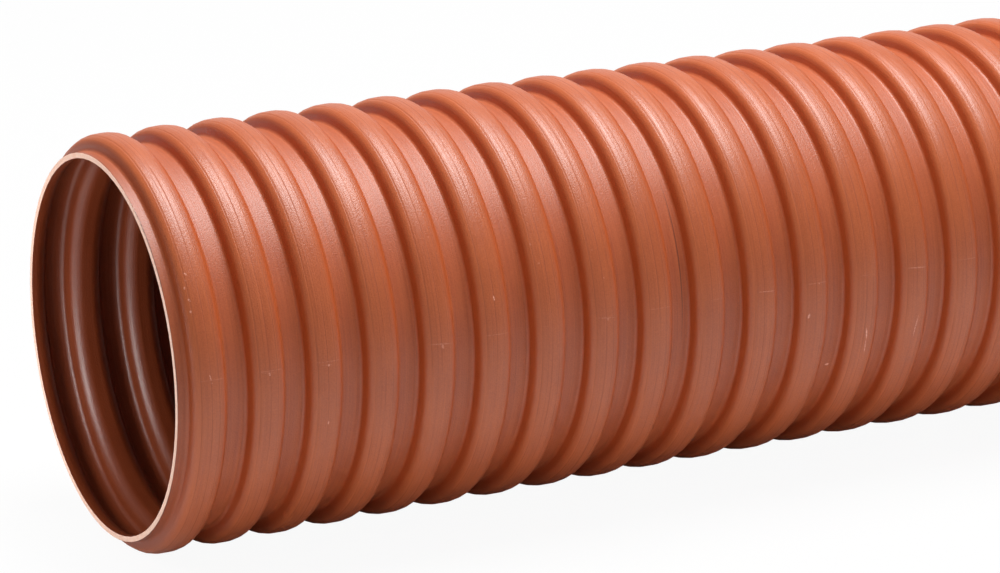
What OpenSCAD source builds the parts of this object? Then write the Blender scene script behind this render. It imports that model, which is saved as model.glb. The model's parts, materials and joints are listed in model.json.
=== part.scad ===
// Corrugated riser pipe of brown polypropylene, for an inspection chamber.
// It lies along X on the plane Z = 0, with the origin under its middle.
// The wall runs in waves, so every rib is hollow, and both ends are cut
// square through the middle of a valley.

/* [Pipe] */
// Outside diameter, over the crests of the ribs
outside_d = 476; // [380:1:600]
// Distance from one rib to the next
rib_pitch = 68.75; // [62:0.25:90]
// Number of ribs along the pipe
rib_count = 29; // [2:1:87]

/* [Rib] */
// Height of a rib above the valley floor
rib_height = 18; // [16:0.5:24]
// Width of a rib at the valley floor, from flank to flank
rib_base_w = 44; // [38:0.5:52]
// Slope of the flank, measured from the pipe's axis
flank_angle = 76; // [60:1:88]
// Width of the cylindrical land along the crest
land_w = 5.6; // [3:0.2:8]
// Radius of the crown on both sides of the land
crown_r = 28.5; // [22:0.5:40]
// Radius of the shoulder between the crown and the flank
shoulder_r = 13; // [7:0.5:18]
// Radius of the hollow corner at the foot of the flank
foot_r = 4; // [2:0.5:6.5]

/* [Wall] */
// Thickness at the crown of a rib, where the wall is stretched most
rib_wall = 4.5; // [3:0.1:5.5]
// Thickness along a valley
valley_wall = 6.5; // [5:0.1:9]

/* [Hollow inside a rib] */
// Width of the hollow, at the height of the valley floor outside
hollow_w = 31.5; // [28:0.5:38]
// Slope of the hollow's sides, measured from the pipe's axis
hollow_angle = 72; // [60:1:78]
// Radius between the roof of the hollow and its sides
hollow_corner_r = 7.5; // [3:0.5:11]
// Radius of the round where the hollow opens into the bore
bore_round_r = 17; // [8:0.5:20]

/* [Hidden] */

pipe_colour = "#b4603f";
arc_steps = 5;     // straight steps in each arc of the section
round_steps = 180; // steps once round the pipe

crest_radius = outside_d / 2;
valley_radius = crest_radius - rib_height;
bore_radius = valley_radius - valley_wall;
pipe_length = rib_count * rib_pitch;

// A unit vector that leans from the radius towards the valley
function lean(angle) = [sin(angle), cos(angle)];

// Points of an arc, from one lean to another; a hollow arc has a negative radius
function arc(centre, radius, from, to, first = 0) =
    [for (i = [first:arc_steps]) centre + radius * lean(from + (to - from) * i / arc_steps)];

// Half a wave, from the edge of the rib's land to the valley floor, as points
// [distance from the middle of the crest, radius]. The side is a line at right
// angles to its normal. Crown and shoulder touch at the angle at which the
// shoulder also touches the side, and the hollow foot ends flat on the floor.
function half_wave(depth, width, side_angle, shoulder, foot, floor_radius) =
    let (
        normal = lean(side_angle),
        reach = normal * [width / 2, valley_radius],
        crown = crown_r - depth,
        crown_centre = [land_w / 2, crest_radius - crown_r],
        shoulder_reach = reach - shoulder - normal * crown_centre,
        crown_end = side_angle - acos(shoulder_reach / (crown - shoulder)),
        shoulder_centre = crown_centre + (crown - shoulder) * lean(crown_end),
        foot_height = floor_radius + foot,
        foot_centre = [(reach + foot - normal[1] * foot_height) / normal[0], foot_height]
    )
    concat(
        arc(crown_centre, crown, 0, crown_end),
        arc(shoulder_centre, shoulder, crown_end, side_angle, 1),
        arc(foot_centre, -foot, side_angle, 0)
    );

outer_wave = half_wave(0, rib_base_w, flank_angle, shoulder_r, foot_r, valley_radius);
inner_wave = half_wave(rib_wall, hollow_w, hollow_angle, hollow_corner_r, bore_round_r, bore_radius);

function reversed(points) = [for (i = [len(points) - 1:-1:0]) points[i]];

function mirrored(points) = [for (p = reversed(points)) [-p[0], p[1]]];

// One face of the wall along the whole pipe, as points [distance, radius]
function wall_face(half, floor_radius) =
    let (
        rib = concat(mirrored(half), half),
        first_crest = (rib_pitch - pipe_length) / 2
    )
    concat(
        [[-pipe_length / 2, floor_radius]],
        [for (k = [0:rib_count - 1]) for (p = rib) [p[0] + first_crest + k * rib_pitch, p[1]]],
        [[pipe_length / 2, floor_radius]]
    );

module riser_pipe() {
    section = concat(
        wall_face(outer_wave, valley_radius),
        reversed(wall_face(inner_wave, bore_radius))
    );
    color(pipe_colour)
        translate([0, 0, crest_radius])
            rotate([0, 90, 0])
                rotate_extrude($fn = round_steps)
                    polygon([for (p = section) [p[1], p[0]]]);
}

riser_pipe();
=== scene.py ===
import json
import math

import bpy
import numpy as np
from mathutils import Matrix, Vector


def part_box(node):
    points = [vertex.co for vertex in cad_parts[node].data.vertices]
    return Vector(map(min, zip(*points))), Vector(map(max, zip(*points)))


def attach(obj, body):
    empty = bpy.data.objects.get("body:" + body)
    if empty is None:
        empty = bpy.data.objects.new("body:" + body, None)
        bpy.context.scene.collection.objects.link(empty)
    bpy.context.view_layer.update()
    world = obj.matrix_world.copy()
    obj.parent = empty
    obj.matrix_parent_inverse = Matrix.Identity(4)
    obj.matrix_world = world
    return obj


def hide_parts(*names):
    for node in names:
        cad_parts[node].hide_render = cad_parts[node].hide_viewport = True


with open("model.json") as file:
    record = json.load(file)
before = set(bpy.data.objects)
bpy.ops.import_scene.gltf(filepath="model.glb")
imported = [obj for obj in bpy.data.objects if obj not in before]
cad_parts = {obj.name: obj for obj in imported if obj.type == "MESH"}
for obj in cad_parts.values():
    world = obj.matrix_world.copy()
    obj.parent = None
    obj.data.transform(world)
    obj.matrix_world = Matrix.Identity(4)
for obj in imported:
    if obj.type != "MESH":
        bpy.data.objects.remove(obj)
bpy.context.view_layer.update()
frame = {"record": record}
mounts = {mount["name"]: mount for mount in frame["record"]["mounts"]}
lowCorner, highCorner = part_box("riser_pipe")
crestRadius = mounts["rib_crests"]["dims"]["r_mm"] / 1000
boreRadius = mounts["bore"]["dims"]["r_mm"] / 1000
axisHeight = mounts["bore"]["pos_m"][2]
pipeLength = highCorner.x - lowCorner.x
print("frame loaded, pipe", round(pipeLength, 4), "m long")

cameraView = dict(
    azimuth=-27.197, elevation=17.547,         # degrees: from the near end's side, looking down
    lens=146.16, sensor=36,                    # mm
    right=-0.4474, up=-0.0687, ahead=4.5366,   # the near end's middle as the camera sees it, in metres
    beside=-0.0014,                            # a small step along the pipe
    farthest=200,
)


def makeCamera(s):
    turn, lift = math.radians(s["azimuth"]), math.radians(s["elevation"])
    ahead = Vector((-math.sin(turn) * math.cos(lift), math.cos(turn) * math.cos(lift), -math.sin(lift)))
    right = Vector((math.cos(turn), math.sin(turn), 0))
    up = right.cross(ahead)
    nearEnd = Vector((lowCorner.x + s["beside"], 0, axisHeight))
    place = nearEnd - right * s["right"] - up * s["up"] - ahead * s["ahead"]
    camera = bpy.data.objects.new("camera", bpy.data.cameras.new("camera"))
    camera.data.lens = s["lens"]
    camera.data.sensor_width = s["sensor"]
    camera.data.clip_end = s["farthest"]
    camera.matrix_world = Matrix.Translation(place) @ Matrix((right, up, -ahead)).transposed().to_4x4()
    bpy.context.scene.collection.objects.link(camera)
    bpy.context.scene.camera = camera


makeCamera(cameraView)
print("camera placed")

# Lengths in metres, angles in degrees
wall = dict(
    ribs=29, ribHeight=0.018, baseWidth=0.044, flankAngle=76,
    landWidth=0.0056, crownRadius=0.0285, shoulderRadius=0.013, footRadius=0.004,
    ribWall=0.0045, hollowWidth=0.0315, hollowAngle=72, hollowShoulder=0.0075, boreRound=0.017,
    edgeRound=0.0005,
    outerSteps=(3, 2, 2), innerSteps=(2, 2, 3),           # in the crown, shoulder and foot arcs
    columns=72,
    seamAt=-83.2, seamHalfWidth=0.0007, seamHeight=0.00012,   # the angle goes from the top towards +Y
)
ribPitch = pipeLength / wall["ribs"]
valleyRadius = crestRadius - wall["ribHeight"]


# Unit vectors that lean from the radius towards the valley: (sine, cosine)
def lean(angles):
    return np.stack([np.sin(angles), np.cos(angles)], -1)


# Segments of an arc: points are centre + radius * (sine, cosine), with a negative radius where the
# arc is hollow, and the unit vectors are the normals. Each segment is start, end, two normals.
def arcSegments(centre, radius, start, end, steps):
    units = lean(np.linspace(start, end, steps + 1))
    points = centre + radius * units
    return np.stack([points[:-1], points[1:], units[:-1], units[1:]], 1)


# One straight segment, whose normal is its direction turned a quarter turn away from the axis
def lineSegment(start, end):
    along = (end - start) / np.linalg.norm(end - start)
    normal = np.array([-along[1], along[0]])
    return np.array([[start, end, normal, normal]])


# Half a rib from the middle of its crest to the valley floor: land, crown arc, shoulder arc that
# touches crown and flank, straight flank, and a hollow arc at the foot that ends flat on the floor
def halfRib(s, depth, width, flankAngle, shoulderRadius, footRadius, floorRadius, steps):
    flank = math.radians(flankAngle)
    normal = lean(flank)
    reach = normal @ [width / 2, valleyRadius]      # from the origin to the flank line
    crownRadius = s["crownRadius"] - depth
    crownCentre = np.array([s["landWidth"] / 2, crestRadius - s["crownRadius"]])
    inner = crownRadius - shoulderRadius
    crownEnd = flank - math.acos((reach - shoulderRadius - normal @ crownCentre) / inner)
    crown = arcSegments(crownCentre, crownRadius, 0, crownEnd, steps[0])
    shoulder = arcSegments(crownCentre + inner * lean(crownEnd), shoulderRadius, crownEnd, flank, steps[1])
    footHeight = floorRadius + footRadius
    footCentre = np.array([(reach + footRadius - normal[1] * footHeight) / normal[0], footHeight])
    foot = arcSegments(footCentre, -footRadius, flank, 0, steps[2])
    crest = np.array([0, crestRadius - depth])
    land = lineSegment(crest, crown[0, 0])
    return np.concatenate([land, crown, shoulder, lineSegment(shoulder[-1, 1], foot[0, 0]), foot])


# Segments mirrored across the crest: distances change sign, and so does the order
def mirrored(segments):
    flipped = segments * [-1, 1]
    return flipped[::-1][:, [1, 0, 3, 2]]


# One face of the wall over the whole length: a rib repeated at every pitch, joined by valley floors
def wallFace(s, half):
    foot = half[-1, 1]
    floor = lineSegment(foot, np.array([ribPitch / 2, foot[1]]))
    rib = np.concatenate([mirrored(floor), mirrored(half), half, floor])
    shift = np.zeros((s["ribs"], 1, 4, 2))
    shift[:, 0, :2, 0] = ((np.arange(s["ribs"]) + 0.5) * ribPitch - pipeLength / 2)[:, None]
    return (rib[None] + shift).reshape(-1, 4, 2)


# The whole section, once round: outer face, cut end, inner face turned round, other cut end. The
# cut edges are broken by a short chamfer.
def wallSection(s):
    outer = wallFace(s, halfRib(s, 0, s["baseWidth"], s["flankAngle"], s["shoulderRadius"],
                                s["footRadius"], valleyRadius, s["outerSteps"]))
    inner = wallFace(s, halfRib(s, s["ribWall"], s["hollowWidth"], s["hollowAngle"], s["hollowShoulder"],
                                s["boreRound"], boreRadius, s["innerSteps"]))
    inner = inner[::-1][:, [1, 0, 3, 2]] * np.array([[1, 1], [1, 1], [-1, -1], [-1, -1]])
    r = s["edgeRound"]
    outer[0, 0, 0] += r
    outer[-1, 1, 0] -= r
    inner[0, 0, 0] -= r
    inner[-1, 1, 0] += r
    ends = []
    for a, b, side in ((outer[-1, 1], inner[0, 0], 1), (inner[-1, 1], outer[0, 0], -1)):
        first = a + [side * r, -side * r]
        last = b + [side * r, side * r]
        ends.append(np.concatenate([lineSegment(a, first), lineSegment(first, last), lineSegment(last, b)]))
    return np.concatenate([outer, ends[0], inner, ends[1]]), len(outer)


# Angles of the columns once round, evenly spaced, with three more across each of the two parting
# lines, and the height of the low ridge there: it is raised at the middle one of the three
def turnColumns(s):
    seams = np.radians([s["seamAt"], s["seamAt"] + 180])
    step = s["seamHalfWidth"] / crestRadius
    even = np.linspace(-math.pi, math.pi, s["columns"], endpoint=False)
    across = (seams[:, None] + np.array([-step, 0, step])).ravel()
    turns = np.concatenate([even, (across + math.pi) % (2 * math.pi) - math.pi])
    lift = np.zeros(len(turns))
    lift[s["columns"] + 1::3] = s["seamHeight"]
    order = np.argsort(turns)
    return turns[order], lift[order]


# Normals at the four corners of each face: the segment's normal (along, outwards) turned round the
# axis, and on a ridge leaned against the slope, which is its rise from one column to the next
def turnNormals(section, turns, slope):
    first, second = section[:, 2], section[:, 3]
    sines, cosines = np.sin(turns), np.cos(turns)
    normals = np.empty((len(section), len(turns), 4, 3))
    for corner, (normal, ahead) in enumerate(((first, 0), (second, 0), (second, 1), (first, 1))):
        sine, cosine = np.roll(sines, -ahead), np.roll(cosines, -ahead)
        outwards = normal[:, 1, None]
        normals[:, :, corner, 0] = normal[:, 0, None]
        normals[:, :, corner, 1] = outwards * sine - outwards * slope * cosine
        normals[:, :, corner, 2] = outwards * cosine + outwards * slope * sine
    return normals / np.linalg.norm(normals, axis=-1, keepdims=True)


# A mesh of four-cornered faces that keep the normals of their own corners
def makeMesh(name, points, quads, normals):
    mesh = bpy.data.meshes.new(name)
    mesh.vertices.add(len(points))
    mesh.vertices.foreach_set("co", points.astype(np.float32).ravel())
    mesh.loops.add(quads.size)
    mesh.loops.foreach_set("vertex_index", quads.astype(np.int32).ravel())
    mesh.polygons.add(len(quads))
    mesh.polygons.foreach_set("loop_start", np.arange(0, quads.size, 4, dtype=np.int32))
    mesh.update(calc_edges=True)
    mesh.validate()
    mesh.polygons.foreach_set("use_smooth", np.ones(len(quads), bool))
    mesh.normals_split_custom_set(normals.astype(np.float32))
    return mesh


# A closed surface: the section turned round the pipe's axis. Points are
# (x, radius * sine, axisHeight + radius * cosine), and on the outer face the ridge adds to the radius.
def makeWall(s):
    section, outerCount = wallSection(s)
    turns, lift = turnColumns(s)
    count, columns = len(section), len(turns)
    outside = (np.arange(count) <= outerCount).astype(float)
    start = section[:, 0]
    radius = start[:, 1, None] + lift * outside[:, None]
    along = np.broadcast_to(start[:, 0, None], radius.shape)
    points = np.stack([along, radius * np.sin(turns), axisHeight + radius * np.cos(turns)], -1)
    i, j = np.meshgrid(np.arange(count), np.arange(columns), indexing="ij")
    nextI, nextJ = (i + 1) % count, (j + 1) % columns
    quads = np.stack([i * columns + j, nextI * columns + j, nextI * columns + nextJ, i * columns + nextJ], -1)
    apart = (np.roll(turns, -1) - turns) % (2 * math.pi) * crestRadius
    slope = (np.roll(lift, -1) - lift) / apart * outside[:, None]
    normals = turnNormals(section, turns, slope)
    mesh = makeMesh("riserPipe", points.reshape(-1, 3), quads.reshape(-1, 4), normals.reshape(-1, 3))
    # Each point keeps how far it lies along the section, and whether it is on the inside
    lengths = np.linalg.norm(section[:, 1] - start, axis=1)
    run = np.cumsum(lengths) - lengths
    for name, values in (("wallRun", run), ("inside", 1 - outside)):
        layer = mesh.attributes.new(name, "FLOAT", "POINT")
        layer.data.foreach_set("value", np.repeat(values, columns).astype(np.float32))
    piece = bpy.data.objects.new("riserPipe", mesh)
    bpy.context.scene.collection.objects.link(piece)
    print("wall made:", count, "rings,", columns, "columns,", 2 * count * columns, "triangles")
    return piece


pipePiece = makeWall(wall)
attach(pipePiece, "root")
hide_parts("riser_pipe")


# A socket of a shader tree. Sums, differences and products of sockets and numbers add Math nodes.
class Socket:
    def __init__(self, tree, socket=None):
        self.tree = tree
        self.socket = socket

    def node(self, kind, settings=None, inputs=None, output=0):
        made = self.tree.nodes.new(kind)
        for name, value in (settings or {}).items():
            setattr(made, name, value)
        for name, value in (inputs or {}).items():
            if isinstance(value, Socket):
                self.tree.links.new(value.socket, made.inputs[name])
            else:
                made.inputs[name].default_value = value
        return Socket(self.tree, made.outputs[output])

    def math(self, operation, *values):
        return self.node("ShaderNodeMath", dict(operation=operation), dict(enumerate(values)))

    def __add__(self, other):
        return self.math("ADD", self, other)

    def __radd__(self, other):
        return self.math("ADD", other, self)

    def __sub__(self, other):
        return self.math("SUBTRACT", self, other)

    def __rsub__(self, other):
        return self.math("SUBTRACT", other, self)

    def __mul__(self, other):
        return self.math("MULTIPLY", self, other)

    def __rmul__(self, other):
        return self.math("MULTIPLY", other, self)

    def __abs__(self):
        return self.math("ABSOLUTE", self)

    def atLeast(self, other):
        return self.math("MAXIMUM", self, other)

    def atMost(self, other):
        return self.math("MINIMUM", self, other)

    # 0 below the low value, 1 above the high one, with a smooth rise between them
    def rise(self, low, high):
        inputs = {"Value": self, "From Min": low, "From Max": high}
        return self.node("ShaderNodeMapRange", dict(interpolation_type="SMOOTHSTEP"), inputs)

    # A colour between two others, with this socket as the share of the second
    def mix(self, first, second):
        first, second = (c if isinstance(c, Socket) else (*c, 1) for c in (first, second))
        return self.node("ShaderNodeMix", dict(data_type="RGBA"), {0: self, 6: first, 7: second}, 2)

    def vector(self, x, y, z):
        return self.node("ShaderNodeCombineXYZ", {}, {0: x, 1: y, 2: z})

    def noise(self, place, scale=1, detail=2, roughness=0.5):
        inputs = {"Vector": place, "Scale": scale, "Detail": detail, "Roughness": roughness}
        return self.node("ShaderNodeTexNoise", {}, inputs)


# Lengths in metres, colours linear. A share is how far a colour goes towards the named one, and a
# span is where a share rises from none to full.
finish = dict(
    # the plastic from its darkest to its palest shade, with what moves it between the two
    deep=(0.42, 0.080, 0.021), pale=(0.62, 0.147, 0.042),
    bandScales=((1000, 7), (260, 4)), bandShades=(0.6, 0.5), bandHeights=(0.00019, 0.00023),
    mottleScale=16, mottleShade=0.6,
    grainScale=600, grainShade=0.9, grainHeight=0.00032,
    breakScales=(30, 12),
    # zones by their distance from the crest
    # the valleys between the ribs get painted shade
    valleySpan=(0.022, 0.027), valleyShadeShare=0.15, valleyBands=0.8,
    # painted glow of light bounced between the ribs, on the shoulders
    shoulder=(0.52, 0.090, 0.017), shoulderGlowShare=0.6,
    shoulderStart=(0.009, 0.014), shoulderEnd=(0.021, 0.025), mouthShoulderStart=(0.015, 0.020),
    # painted sheen on the mouth's side of each crown
    paintedSheen=(0.72, 0.165, 0.042), flareShare=0.32, flareStart=(0.009, 0.013), flareEnd=(0.016, 0.020),
    # fine rings left by the mould: distance from the crest, half width, strength, height.
    # Their colour also paints the shade in the valleys.
    ringLineAndValleyShade=(0.27, 0.045, 0.014), ringShare=0.45, ringBreaks=(0.3, 0.6), ringCore=0.3,
    rings=[
        (-0.0014, 0.0008, 0.9, -0.00012),
        (-0.0126, 0.0008, 0.7, -0.00014),
        (-0.0110, 0.0006, 0.3, 0.00008),
        (-0.0062, 0.0006, 0.4, -0.00006),
        (0.0078, 0.0008, 0.7, -0.00014),
        (0.0104, 0.0006, 0.5, -0.00010),
        (0.0122, 0.0006, 0.5, -0.00010),
        (0.0250, 0.0006, 0.3, 0.00006),
        (0.0272, 0.0006, 0.3, -0.00005),
    ],
    # parting lines, which show on the crests only
    seamShare=0.14, seamEdge=(0.0002, 0.0009), seamEnd=(0.010, 0.015), seamBreaks=(0.4, 0.6),
    # rubbed spots, and the painted shadow and shade beside each cut: a thin broken shadow line
    # and a broad band
    rubbed=(0.98, 0.50, 0.37), rubBreaks=(-0.25, 0.05),
    crackAndCutShade=(0.16, 0.032, 0.012),
    cutLineEdge=(0.0012, 0.0022), cutLineShare=0.7, cutLineScale=9, cutLineBreaks=(0.45, 0.6),
    cutShadeEdge=(0.006, 0.018), cutShadeShare=0.2,
    # the inside multiplies the colour as painted shade inside the pipe, and the sawn ends have
    # their own, with marks across the wall
    insidePaintedShade=(0.39, 0.33, 0.32),
    sawn=(1.0, 0.68, 0.54), sawMark=(0.97, 0.56, 0.41), sawEdge=(0.0004, 0.0001),
    sawMarkScales=(500, 60), sawMarkBreaks=(0.35, 0.7),
    roughness=0.39, insideRoughness=0.36, sawnRoughness=0.6,
    bandRoughness=0.25, grainRoughness=0.1, rubRoughness=0.12, ringRoughness=0.3, valleyRoughness=0.07,
    specular=0.7,
)

# Marks on the outside: x, angle from the top towards +Y, half width along x, half length around,
# turn in degrees, strength. The hairline is a thin dark crack in a valley, the spots are pale.
hairline = (-0.3740, -70.0, 0.0011, 0.1250, -0.84, 0.80)
spots = [
    (-0.9730, -54.7, 0.0011, 0.0024, 40, 0.75), (-0.9745, -56.4, 0.0009, 0.0016, 20, 0.25),
    (-0.9770, -58.3, 0.0011, 0.0022, -10, 0.60), (-0.9752, -61.7, 0.0012, 0.0026, 30, 0.85),
    (-0.9762, -64.7, 0.0012, 0.0020, 0, 0.85), (-0.9667, -30.5, 0.0020, 0.0060, 5, 0.28),
    (-0.9086, -53.7, 0.0009, 0.0020, 10, 0.13),
    (-0.9647, -82.5, 0.0010, 0.0042, 12, 0.80), (-0.9634, -84.0, 0.0010, 0.0020, 60, 0.24),
    (-0.8966, -83.7, 0.0100, 0.0006, -4, 0.15), (-0.8957, -84.1, 0.0014, 0.0028, 10, 0.50),
    (-0.8267, -84.1, 0.0090, 0.0006, -3, 0.18), (-0.8256, -84.2, 0.0014, 0.0018, 0, 0.70),
    (-0.8258, -100.3, 0.0011, 0.0030, 0, 0.65), (-0.6885, -83.4, 0.0150, 0.0007, -5, 0.28),
    (-0.6876, -84.1, 0.0020, 0.0036, 15, 0.38), (-0.6199, -73.4, 0.0010, 0.0038, 8, 0.95),
    (-0.5630, -60.5, 0.0014, 0.0018, 30, 0.17), (-0.5582, -66.0, 0.0018, 0.0014, 0, 0.28),
    (-0.4900, -64.6, 0.0012, 0.0012, 0, 0.17), (-0.4810, -72.6, 0.0010, 0.0014, 0, 0.40),
    (-0.4819, -83.5, 0.0150, 0.0007, -5, 0.22), (-0.4806, -83.9, 0.0020, 0.0026, 20, 0.22),
    (-0.4434, -65.3, 0.0012, 0.0012, 0, 0.10), (-0.2163, -92.5, 0.0016, 0.0038, -15, 1.00),
    (-0.1355, -100.7, 0.0012, 0.0095, 8, 0.95), (-0.1346, -104.8, 0.0011, 0.0110, 3, 0.75),
    (-0.1691, -113.1, 0.0036, 0.0020, 0, 1.00),
    (-0.0693, -83.4, 0.0160, 0.0008, -4, 0.36), (-0.0680, -101.5, 0.0008, 0.0150, -4, 0.60),
    (-0.0662, -99.4, 0.0007, 0.0100, -4, 0.40), (-0.2733, -83.3, 0.0140, 0.0008, -4, 0.34),
    (-0.2035, -83.4, 0.0012, 0.0014, 0, 0.40),
]


# A stretched round patch on the unrolled crest surface: full in its middle, 0 at its edge
def makePatch(base, unrolled, patch):
    x, angle, halfX, halfArc, turn, strength = patch
    inputs = {
        "Vector": unrolled, "Location": (x, math.radians(angle) * crestRadius, 0),
        "Rotation": (0, 0, math.radians(turn)), "Scale": (halfX, halfArc, 1),
    }
    place = base.node("ShaderNodeMapping", dict(vector_type="TEXTURE"), inputs)
    reach = base.node("ShaderNodeTexGradient", dict(gradient_type="SPHERICAL"), {0: place}, 1)
    return reach.rise(0, 0.6) * strength


# The fine rings on the outside: each is full on its line and fades out over its half width. The
# first result is their height, the second how much they dull the surface.
def makeRings(s, fromCrest, outside):
    relief = 0
    dulled = 0
    for at, halfWidth, strength, tall in s["rings"]:
        ring = (1 - abs(fromCrest - at).rise(halfWidth * s["ringCore"], halfWidth)) * outside
        relief = ring * tall + relief
        dulled = ring * strength + dulled
    return relief, dulled


def makePlastic(s, spots, hairline):
    material = bpy.data.materials.new("brownPolypropylene")
    material.use_nodes = True
    tree = material.node_tree
    shader = tree.nodes["Principled BSDF"]
    base = Socket(tree)
    place = base.node("ShaderNodeTexCoord", output="Object")
    x, y, z = (base.node("ShaderNodeSeparateXYZ", {}, {0: place}, axis) for axis in "XYZ")
    wallRun = base.node("ShaderNodeAttribute", dict(attribute_name="wallRun"), output="Fac")
    inside = base.node("ShaderNodeAttribute", dict(attribute_name="inside"), output="Fac")
    outside = 1 - inside
    height = z - axisHeight

    # The crest surface unrolled: x, and the angle round the axis times the crest's radius
    arc = y.math("ARCTAN2", y, height) * crestRadius
    unrolled = base.vector(x, arc, 0)

    # Distance to the nearest crest: x wrapped to one pitch, since a crest lies at x = 0
    fromCrest = x.math("WRAP", x, ribPitch / 2, -ribPitch / 2)
    aside = abs(fromCrest)
    mouthward = fromCrest * -1
    valley = aside.rise(*s["valleySpan"]) * outside

    # Bands round the pipe: noise that changes fast along the wall's section and slowly around it
    bands = []
    for across, around in s["bandScales"]:
        bandPlace = base.vector(wallRun * across, y * around, height * around)
        bands.append(base.noise(bandPlace, detail=3) - 0.5)
    mottle = base.noise(place, scale=s["mottleScale"], detail=3) - 0.5
    grain = base.noise(place, scale=s["grainScale"], detail=2) - 0.5
    across, around = s["breakScales"]
    breaks = base.noise(base.vector(x * across, y * around, height * around), detail=2)

    # The shade lies halfway between deep and pale, moved by bands, patches and grain. Bands count
    # for more in the valleys.
    bandShade = bands[0] * s["bandShades"][0] + bands[1] * s["bandShades"][1]
    bandShade = bandShade * (1 + valley * s["valleyBands"])
    shade = 0.5 + bandShade + mottle * s["mottleShade"] + grain * s["grainShade"]
    colour = shade.mix(s["deep"], s["pale"])

    # Painted glow of light bounced between the ribs: the shoulders get a deeper orange between their start
    # and their end. On the mouth's side it starts later, after the painted sheen.
    shoulder = fromCrest.rise(*s["shoulderStart"]).atLeast(mouthward.rise(*s["mouthShoulderStart"]))
    shoulder = shoulder * (1 - aside.rise(*s["shoulderEnd"])) * outside
    colour = (shoulder * s["shoulderGlowShare"]).mix(colour, s["shoulder"])
    # Painted sheen: a paler colour on the mouth's side of each crown
    paintedSheen = mouthward.rise(*s["flareStart"]) * (1 - mouthward.rise(*s["flareEnd"])) * outside
    colour = (paintedSheen * s["flareShare"]).mix(colour, s["paintedSheen"])
    # Painted shade: the valleys between the ribs are darkened
    colour = (valley * s["valleyShadeShare"]).mix(colour, s["ringLineAndValleyShade"])

    # Rings show as darker lines where noise doesn't break them up
    relief, dulled = makeRings(s, fromCrest, outside)
    dulled = dulled * breaks.rise(*s["ringBreaks"])
    colour = (dulled * s["ringShare"]).mix(colour, s["ringLineAndValleyShade"])

    # Parting lines: pale where the arc is within a ridge's width of either seam, on the crests
    seams = [math.radians(angle) * crestRadius for angle in (wall["seamAt"], wall["seamAt"] + 180)]
    seam = abs(arc - seams[0]).atMost(abs(arc - seams[1]))
    seam = (1 - seam.rise(*s["seamEdge"])) * (1 - aside.rise(*s["seamEnd"])) * outside
    seam = seam * breaks.rise(*s["seamBreaks"])

    # Rubbed spots: the strongest one counts, and grain breaks it up
    rubs = seam * s["seamShare"]
    for spot in spots:
        rubs = rubs.atLeast(makePatch(base, unrolled, spot) * outside)
    rubs = rubs * grain.rise(*s["rubBreaks"])
    colour = rubs.mix(colour, s["rubbed"])

    # Painted shadow and shade beside each cut: a shadow line broken up by noise and a broad painted
    # shade. The hairline, a real crack, takes the same dark colour.
    fromCut = pipeLength / 2 - abs(x)
    around = s["cutLineScale"]
    lineBreaks = base.noise(base.vector(0, y * around, height * around), detail=2)
    cutShadowLine = (1 - fromCut.rise(*s["cutLineEdge"])) * s["cutLineShare"] * lineBreaks.rise(*s["cutLineBreaks"])
    cutPaintedShade = (1 - fromCut.rise(*s["cutShadeEdge"])) * s["cutShadeShare"]
    crackAndCutShade = cutShadowLine.atLeast(cutPaintedShade).atLeast(makePatch(base, unrolled, hairline)) * outside
    colour = crackAndCutShade.mix(colour, s["crackAndCutShade"])

    # The inside is painted darker, as shade inside the pipe, and each sawn end is pale with marks across
    # the wall
    inputs = {0: inside, 6: colour, 7: (*s["insidePaintedShade"], 1)}
    colour = base.node("ShaderNodeMix", dict(data_type="RGBA", blend_type="MULTIPLY"), inputs, 2)
    sawnFrom, sawnFull = (pipeLength / 2 - edge for edge in s["sawEdge"])
    sawn = abs(x).rise(sawnFrom, sawnFull)
    around, across = s["sawMarkScales"]
    marks = base.noise(base.vector(arc * around, height * across, 0), detail=2)
    sawnColour = marks.rise(*s["sawMarkBreaks"]).mix(s["sawn"], s["sawMark"])
    tree.links.new(sawn.mix(colour, sawnColour).socket, shader.inputs["Base Color"])

    roughness = s["roughness"] + bands[0] * s["bandRoughness"] + grain * s["grainRoughness"]
    roughness = roughness + rubs * s["rubRoughness"] + dulled * s["ringRoughness"]
    roughness = roughness + valley * s["valleyRoughness"]
    roughness = roughness + inside * (s["insideRoughness"] - s["roughness"])
    roughness = roughness + sawn * (s["sawnRoughness"] - roughness)
    tree.links.new(roughness.socket, shader.inputs["Roughness"])

    relief = relief + bands[0] * s["bandHeights"][0] + bands[1] * s["bandHeights"][1]
    relief = relief + grain * s["grainHeight"]
    bump = base.node("ShaderNodeBump", {}, {"Height": relief, "Distance": 1, "Strength": 1})
    tree.links.new(bump.socket, shader.inputs["Normal"])
    shader.inputs["Specular IOR Level"].default_value = s["specular"]
    return material


pipePiece.data.materials.append(makePlastic(finish, spots, hairline))
print("materials made")

stage = dict(
    halfSize=60,
    floorColor=(0.75, 0.75, 0.75),
    cameraWhite=0.94,   # share of plain white in what the camera sees of the floor
)


def makeFloor(s):
    mesh = bpy.data.meshes.new("floor")
    h = s["halfSize"]
    mesh.from_pydata([(-h, -h, 0), (h, -h, 0), (h, h, 0), (-h, h, 0)], [], [(0, 1, 2, 3)])
    floor = bpy.data.objects.new("floor", mesh)
    bpy.context.scene.collection.objects.link(floor)
    material = bpy.data.materials.new("paleFloor")
    material.use_nodes = True
    tree = material.node_tree
    base = Socket(tree)
    tree.nodes.remove(tree.nodes["Principled BSDF"])
    output = tree.nodes["Material Output"]
    diffuse = base.node("ShaderNodeBsdfDiffuse", {}, {"Color": (*s["floorColor"], 1)})
    white = base.node("ShaderNodeEmission", {}, {"Color": (1, 1, 1, 1), "Strength": 1})
    seen = base.node("ShaderNodeLightPath", output="Is Camera Ray") * s["cameraWhite"]
    mixed = base.node("ShaderNodeMixShader", {}, {0: seen, 1: diffuse, 2: white})
    tree.links.new(mixed.socket, output.inputs["Surface"])
    mesh.materials.append(material)


makeFloor(stage)

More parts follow.
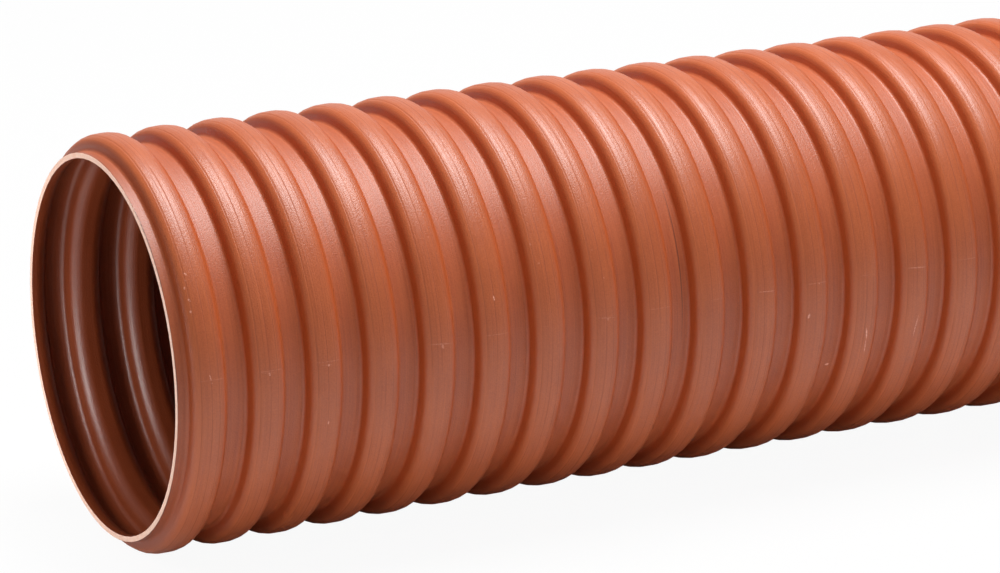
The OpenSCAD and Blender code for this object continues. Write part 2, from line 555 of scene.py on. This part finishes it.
# Lengths in metres, power in watts, spread in degrees
lamps = [
    dict(
        name="overheadSoftbox", place=(0.5, 0.25, 5.2), aim=(0, 0, 0.3),
        size=(3.8, 2.3), power=350, spread=180,
    ),
    dict(
        name="mouthSoftbox", place=(-1.45, 0.02, 0.40), aim=(-0.95, 0.18, 0.12),
        size=(0.2, 0.2), power=0.27, spread=80,
    ),
    dict(
        name="edgeSoftbox", place=(-1.27, 0, 0.24), aim=(-1, 0, 0.24),
        size=(0.1, 0.1), power=0.55, spread=180,
    ),
]


def makeLamp(s):
    data = bpy.data.lights.new(s["name"], "AREA")
    data.shape = "RECTANGLE"
    data.size, data.size_y = s["size"]
    data.energy = s["power"]
    data.spread = math.radians(s["spread"])
    lamp = bpy.data.objects.new(s["name"], data)
    place = Vector(s["place"])
    turn = (place - Vector(s["aim"])).to_track_quat("Z", "Y").to_matrix()
    lamp.matrix_world = Matrix.Translation(place) @ turn.to_4x4()
    lamp.visible_camera = False
    bpy.context.scene.collection.objects.link(lamp)


for lamp in lamps:
    makeLamp(lamp)


sky = dict(
    strength=0.25,
    glowFrom=(0.47, 0.88, 0.06), glowSpan=(0.83, 1.0), glow=0.65,   # seen in reflections only
)


# An even light. Reflections also see a glow: it rises with the ray's share along the glow's direction.
# The camera sees plain white.
def makeWorld(s):
    world = bpy.data.worlds.new("world")
    bpy.context.scene.world = world
    world.use_nodes = True
    tree = world.node_tree
    base = Socket(tree)
    direction = base.node("ShaderNodeTexCoord", output="Generated")
    seen = base.node("ShaderNodeLightPath", output="Is Camera Ray")
    reflected = base.node("ShaderNodeLightPath", output="Is Glossy Ray")
    towards = 0
    for axis, share in zip("XYZ", s["glowFrom"]):
        towards = base.node("ShaderNodeSeparateXYZ", {}, {0: direction}, axis) * share + towards
    level = s["strength"] + towards.rise(*s["glowSpan"]) * s["glow"] * reflected
    level = level + (1 - level) * seen
    background = tree.nodes["Background"]
    background.inputs["Color"].default_value = (1, 1, 1, 1)
    tree.links.new(level.socket, background.inputs["Strength"])


makeWorld(sky)
bpy.context.scene.view_settings.view_transform = "Standard"
print("floor, lamps and world made")
